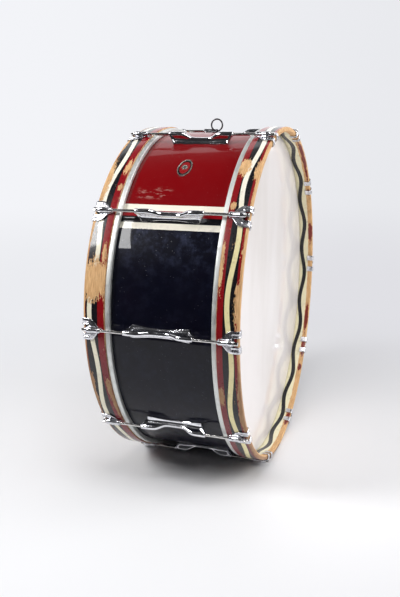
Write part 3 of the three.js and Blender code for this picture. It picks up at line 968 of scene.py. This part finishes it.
def make_plate_enamel():
    """Plain vent plate: a bright rim and eyelet, a black border and a red field."""
    material, finish = new_finish("plate_enamel")
    place, along, angle, _ = finish.round_the_drum()
    sideways = along - VENT_ALONG / MM
    up = (angle - math.degrees(VENT_ANGLE)) * (math.radians(1) * PLATE_RADIUS)
    half_width, half_height = PLATE_OVALS[-1]
    reach = finish.length(finish.vector(sideways / half_width, up / half_height))
    hub = finish.length(finish.vector(sideways, up))
    mottle = finish.noise(place, 0.6, 4, 0.6)
    field = finish.blend(reach < 0.72, PLATE_BLACK, PLATE_RED)
    field = finish.blend(finish.between(mottle, 0.5, 0.75) * 0.4, field, PLATE_DULL)
    bright = ((reach > 0.88) + (hub < 6.1)).least(1)
    colour = finish.blend(bright, field, finish.blend(mottle, PLATE_BRIGHT, PLATE_GREY))
    rough = finish.between(mottle, 0.3, 0.7, 0.18, 0.34)
    finish.surface({"Base Color": colour, "Metallic": bright, "Roughness": rough,
                    "Coat Weight": (1 - bright) * 0.6, "Coat Roughness": 0.08})
    return material


# Putting the drum together


def dress(piece, material, body, node, angle=EDGE_ANGLE):
    """Give a piece its finish, its body and the CAD node it stands for."""
    piece.data.materials.clear()
    piece.data.materials.append(material)
    shade(piece, angle)
    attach(piece, body)
    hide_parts(node)


def copy_to(piece, name, matrix):
    """A copy of a piece with its own mesh, moved to its place."""
    copy = piece.copy()
    copy.data = piece.data.copy()
    copy.name = name
    copy.data.name = name
    bpy.context.collection.objects.link(copy)
    put(copy, matrix)
    return copy


RIGHT = Matrix.Identity(4)
LEFT = Matrix.Rotation(math.pi, 4, "Z")

lacquer = make_shell_lacquer()
right_paint = make_hoop_paint("right_hoop_paint", RIGHT_BARE, wave_middle=135.1, wave_start=60.8,
                              red_edges=(123.3, 145.9), yellowed=tone(246, 234, 178))
left_paint = make_hoop_paint("left_hoop_paint", LEFT_BARE, wave_middle=137, wave_start=48.6,
                             red_edges=(125, 150), yellowed=tone(244, 238, 214))
film_white = make_film_white()
aluminium = make_metal("brushed_aluminium", tone(226, 228, 226), tone(206, 208, 206), 0.48,
                       brushed=True)
chrome = make_metal("worn_chrome", tone(236, 236, 240), tone(206, 206, 212), 0.1, dent=0.05)
claw_chrome = make_metal("claw_plating", tone(228, 228, 232), tone(184, 184, 190), 0.19, dent=0.05)
rod_chrome = make_metal("rod_plating", tone(226, 224, 222), tone(190, 188, 186), 0.14)
steel = make_metal("dark_steel", tone(96, 94, 98), tone(50, 48, 52), 0.2)
enamel = make_plate_enamel()

shell = make_shell()
dress(shell, lacquer, "drum", "shell")
dress(make_vent_plate(shell), enamel, "drum", "vent_plate")
dress(make_staple(), steel, "drum", "ring_staple")
dress(make_carrying_ring(), steel, "carrying_ring", "carrying_ring", 60)

for side, paint, facing in (("right", right_paint, RIGHT), ("left", left_paint, LEFT)):
    for make, name, material, slot, node in (
            (make_head, "film", film_white, "head_film", "head"),
            (make_flesh_hoop, "flesh_ring", aluminium, "flesh_hoop_aluminium", "flesh_hoop"),
            (make_hoop, "wood_hoop", paint, "painted_hoop", "hoop")):
        piece = make()
        piece.name = f"{name}_{side}"
        put(piece, facing)
        dress(piece, material, "drum", f"{side}_{node}")

rod = make_rod()
lug = make_lug()
claw = make_claw()
for station in range(STATIONS):
    number = f"{station + 1:02d}"
    round_to = Matrix.Rotation(math.radians(FIRST_STATION + STATION_STEP * station), 4, "X")
    turn = about((0, 0, AXLE), round_to)
    piece = copy_to(lug, f"shell_lug_{number}", turn)
    dress(piece, chrome, "drum", f"lug_{number}", 40)
    for side, facing in (("right", RIGHT), ("left", LEFT)):
        piece = copy_to(rod, f"tension_rod_{side}_{number}", turn @ facing)
        dress(piece, rod_chrome, f"{side}_rod_{number}", f"{side}_rod_{number}")
        piece = copy_to(claw, f"hoop_claw_{side}_{number}", turn @ facing)
        dress(piece, claw_chrome, f"{side}_claw_{number}", f"{side}_claw_{number}", 50)
for pattern in (rod, lug, claw):
    bpy.data.objects.remove(pattern)


# Studio


# The camera's place: its angle round the drum and above it in radians, and its distance
CAMERA_SWING = 0.30471
CAMERA_RISE = 0.24268
CAMERA_DISTANCE = 1.658844
# How far it looks past the drum's middle, in radians: sideways, down, and its lean
LOOK_SIDEWAYS = 0.026049
LOOK_DOWN = -0.01214
LEAN = -0.008432
LENS = 43.048
SENSOR_WIDTH = 36


def set_camera():
    """The photograph's view, from the front and right, a little above."""
    sine, cosine = math.sin(CAMERA_SWING), math.cos(CAMERA_SWING)
    level = math.cos(CAMERA_RISE)
    back = Vector((sine * level, -cosine * level, math.sin(CAMERA_RISE)))
    right = Vector((cosine, sine, 0))
    basis = Matrix((right, back.cross(right), back)).transposed()
    basis = Matrix.Rotation(LOOK_SIDEWAYS, 3, "Z") @ basis
    basis = Matrix.Rotation(LOOK_DOWN, 3, basis.col[0]) @ basis
    basis = Matrix.Rotation(LEAN, 3, basis.col[2]) @ basis
    data = bpy.data.cameras.new("camera")
    data.lens = LENS
    data.sensor_width = SENSOR_WIDTH
    camera = bpy.data.objects.new("camera", data)
    place = Vector((0, 0, AXLE)) + back * CAMERA_DISTANCE
    camera.matrix_world = Matrix.Translation(place) @ basis.to_4x4()
    bpy.context.collection.objects.link(camera)
    bpy.context.scene.camera = camera


# Painted shade: the studio that the camera sees is painted darker towards the right
PALE_LEFT = tone(243, 244, 248)
PALE_RIGHT = tone(232, 233, 237)
# Painted shade: the floor the camera sees is painted darker to the right, standing in for the
# drum's soft shadow there
FLOOR_LEFT = tone(235, 236, 240)
FLOOR_RIGHT = tone(224, 224, 229)
PAPER = (0.87, 0.87, 0.885, 1)
# The dark room and the pale backdrop that light and reflections see
ROOM = (0.03, 0.03, 0.032, 1)
BACKDROP = (1.3, 1.31, 1.34, 1)
# The backdrop fades out between these heights, as sines
BACKDROP_TOP = (0.765, 0.78)
# Its strength as a light, next to its strength in a reflection
BACKDROP_LIGHT = 0.6
FLOOR_SIZE = 60
FLOOR_MIDDLE = 28.85


def towards_right(finish, x, y):
    """Rises from 0 to 1 from the left of the camera's view to its right, for a direction."""
    return finish.between(x * 0.96 + y * 0.3, -0.3, 0.35)


def set_world():
    """Pale studio for the camera; for light and reflections a pale backdrop and a dark room."""
    world = bpy.data.worlds.new("studio")
    bpy.context.scene.world = world
    studio = Finish(world)
    x, y, z = studio.parts(studio.node("ShaderNodeTexCoord", output="Generated"))
    # Painted shade: the backdrop is painted darker towards the right of the view
    seen = studio.blend(towards_right(studio, x, y), PALE_LEFT, PALE_RIGHT)
    backdrop = studio.between(y, 0.0, 0.3) * studio.between(z, *BACKDROP_TOP, 1, 0)
    glossy_ray = studio.node("ShaderNodeLightPath", output="Is Glossy Ray")
    backdrop = backdrop * (BACKDROP_LIGHT + glossy_ray * (1 - BACKDROP_LIGHT))
    unseen = studio.blend(backdrop, ROOM, BACKDROP)
    camera_ray = studio.node("ShaderNodeLightPath", output="Is Camera Ray")
    colour = studio.blend(camera_ray, unseen, seen)
    glow = studio.node("ShaderNodeBackground", {}, {"Color": colour})
    studio.node("ShaderNodeOutputWorld", {}, {"Surface": glow})


def set_floor():
    """Pale paper that takes the shadow near the drum; from 0.3 m out the camera sees a painted glow
    instead, which paints over the drum's shadows there and fades into the studio further off.
    """
    bpy.ops.mesh.primitive_plane_add(size=FLOOR_SIZE, location=(0, FLOOR_MIDDLE, 0))
    floor = bpy.context.object
    floor.name = "floor"
    material, finish = new_finish("paper_floor")
    spot = finish.node("ShaderNodeTexCoord", output="Object")
    spot = finish.vector_maths("MULTIPLY_ADD", spot, (1, 1, 0), (0, FLOOR_MIDDLE, 0))
    x, y, _ = finish.parts(spot)
    far = finish.length(spot)
    sideways = towards_right(finish, x / far, y / far)
    # Painted shade: the near floor is painted darker towards the right
    near_tone = finish.blend(sideways, FLOOR_LEFT, FLOOR_RIGHT)
    far_tone = finish.blend(sideways, PALE_LEFT, PALE_RIGHT)
    seen = finish.blend(finish.between(far, 1.6, 5), near_tone, far_tone)
    camera_ray = finish.node("ShaderNodeLightPath", output="Is Camera Ray")
    paper = finish.node("ShaderNodeBsdfDiffuse", {}, {"Color": PAPER})
    # Painted glow: from 0.3 m out the camera sees these fixed tones instead of the lit paper,
    # painting over the drum's shadows there
    haze = finish.node("ShaderNodeEmission", {}, {"Color": seen})
    share = finish.between(far, 0.3, 1.3) * camera_ray
    mixed = finish.node("ShaderNodeMixShader", {}, {0: share, 1: paper, 2: haze})
    finish.node("ShaderNodeOutputMaterial", {}, {"Surface": mixed})
    floor.data.materials.append(material)


def set_lamp(name, place, tilt, size, power):
    """A soft panel that shines down, tilted by degrees about its middle."""
    data = bpy.data.lights.new(name, "AREA")
    data.shape = "RECTANGLE"
    data.size, data.size_y = size
    data.energy = power
    lamp = bpy.data.objects.new(name, data)
    lamp.location = place
    lamp.rotation_euler = [math.radians(turn) for turn in tilt]
    lamp.visible_camera = False
    bpy.context.collection.objects.link(lamp)


bpy.context.scene.view_settings.view_transform = "Standard"
set_camera()
set_world()
clear_selection()
set_floor()
set_lamp("softbox", place=(-1.44, -1.42, 1.923), tilt=(40.9, 0, 0), size=(0.9, 0.8), power=50)
set_lamp("side_panel", place=(2.5, 0.2, 1.6), tilt=(0, 62, 0), size=(1.8, 1.8), power=50)
set_lamp("top_panel", place=(0.6, -1.05, 2.6), tilt=(0, 0, 0), size=(1, 0.9), power=21)
